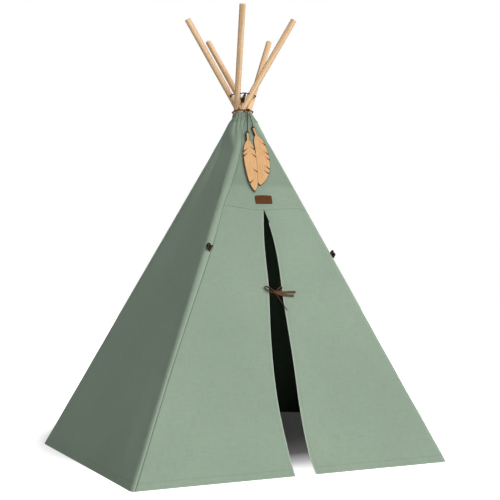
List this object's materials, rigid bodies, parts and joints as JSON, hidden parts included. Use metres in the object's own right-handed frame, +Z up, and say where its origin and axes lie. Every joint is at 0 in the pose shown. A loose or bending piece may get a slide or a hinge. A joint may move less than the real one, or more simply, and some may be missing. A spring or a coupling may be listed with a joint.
{
  "type": "teepee tent",
  "caption": "Child's play teepee: canvas walls on a ring of lashed wooden poles, with a split door tied by a bow and hanging wooden feathers.",
  "frame": {"origin": "on the floor, under the middle of the crossing of the poles", "axes": "+Z up; the door faces -Y; +X to the right of someone who looks at the door"},
  "size_m": [1.461, 1.3896, 1.5317],
  "materials": {
    "canvas": "matt woven cotton canvas",
    "pole_wood": "sanded bare pine",
    "dark_cord": "waxed braided cord",
    "dark_suede": "suede ribbon",
    "tan_leather": "smooth vegetable-tanned leather",
    "plywood": "laser-cut birch plywood"
  },
  "bodies": {
    "canopy": {"neck_cuff": "canvas", "front_yoke": "canvas", "door_side_left": "canvas", "door_side_right": "canvas", "wall_right": "canvas", "wall_back_right": "canvas", "wall_back_left": "canvas", "wall_left": "canvas", "lashing_rope": "dark_cord", "lashing_knot": "dark_cord", "drawstring": "dark_cord", "drawstring_knot": "dark_cord", "leather_label": "tan_leather", "tieback_left": "dark_suede", "tieback_right": "dark_suede"},
    "pole_front_left": {"pole_front_left": "pole_wood"},
    "pole_front_right": {"pole_front_right": "pole_wood"},
    "pole_back_right": {"pole_back_right": "pole_wood"},
    "pole_back": {"pole_back": "pole_wood"},
    "pole_back_left": {"pole_back_left": "pole_wood"},
    "flap_left": {"door_flap_left": "canvas", "tie_knot": "dark_suede", "tie_loop_left": "dark_suede"},
    "flap_right": {"door_flap_right": "canvas", "tie_loop_right": "dark_suede", "tie_tail_upper": "dark_suede", "tie_tail_lower": "dark_suede"},
    "feather_front": {"feather_cord_left": "dark_cord", "feather_left": "plywood"},
    "feather_behind": {"feather_cord_right": "dark_cord", "feather_right": "plywood"}
  },
  "joints": [
    {"name": "fold_front_left", "type": "hinge", "parent": "canopy", "child": "pole_front_left", "pos_m": [0.01895, -0.01472, 1.2], "axis": [-0.7898, 0.6134, 0], "range_deg": [-28, 0], "deforming": ["lashing_rope"]},
    {"name": "fold_front_right", "type": "hinge", "parent": "canopy", "child": "pole_front_right", "pos_m": [0.01986, 0.01348, 1.2], "axis": [-0.8274, -0.5616, 0], "range_deg": [-28, 0]},
    {"name": "fold_back_right", "type": "hinge", "parent": "canopy", "child": "pole_back_right", "pos_m": [-0.00668, 0.02305, 1.2], "axis": [0.2784, -0.9605, 0], "range_deg": [-28, 0]},
    {"name": "fold_back", "type": "hinge", "parent": "canopy", "child": "pole_back", "pos_m": [-0.02399, 0.00077, 1.2], "axis": [0.9995, -0.032, 0], "range_deg": [-28, 0]},
    {"name": "fold_back_left", "type": "hinge", "parent": "canopy", "child": "pole_back_left", "pos_m": [-0.00814, -0.02258, 1.2], "axis": [0.3393, 0.9407, 0], "range_deg": [-28, 0]},
    {"name": "door_left", "type": "hinge", "parent": "canopy", "child": "flap_left", "pos_m": [-0.10903, -0.42435, 0.4025], "axis": [-0.2702, -0.426, -0.8634], "range_deg": [0, 150]},
    {"name": "door_right", "type": "hinge", "parent": "canopy", "child": "flap_right", "pos_m": [0.12509, -0.42435, 0.4025], "axis": [-0.2379, 0.4298, 0.8711], "range_deg": [0, 150]},
    {"name": "feather_swing", "type": "hinge", "parent": "canopy", "child": "feather_front", "pos_m": [0, -0.046, 1.184], "axis": [-1, 0, 0], "range_deg": [0, 60]},
    {"name": "feather_swing_behind", "type": "hinge", "parent": "canopy", "child": "feather_behind", "pos_m": [0, -0.046, 1.184], "axis": [-1, 0, 0], "range_deg": [0, 60]}
  ],
  "couplings": [
    {"joint": "fold_front_right", "follows": "fold_front_left", "ratio": 1},
    {"joint": "fold_back_right", "follows": "fold_front_left", "ratio": 1},
    {"joint": "fold_back", "follows": "fold_front_left", "ratio": 1},
    {"joint": "fold_back_left", "follows": "fold_front_left", "ratio": 1},
    {"joint": "feather_swing_behind", "follows": "feather_swing", "ratio": 1}
  ]
}
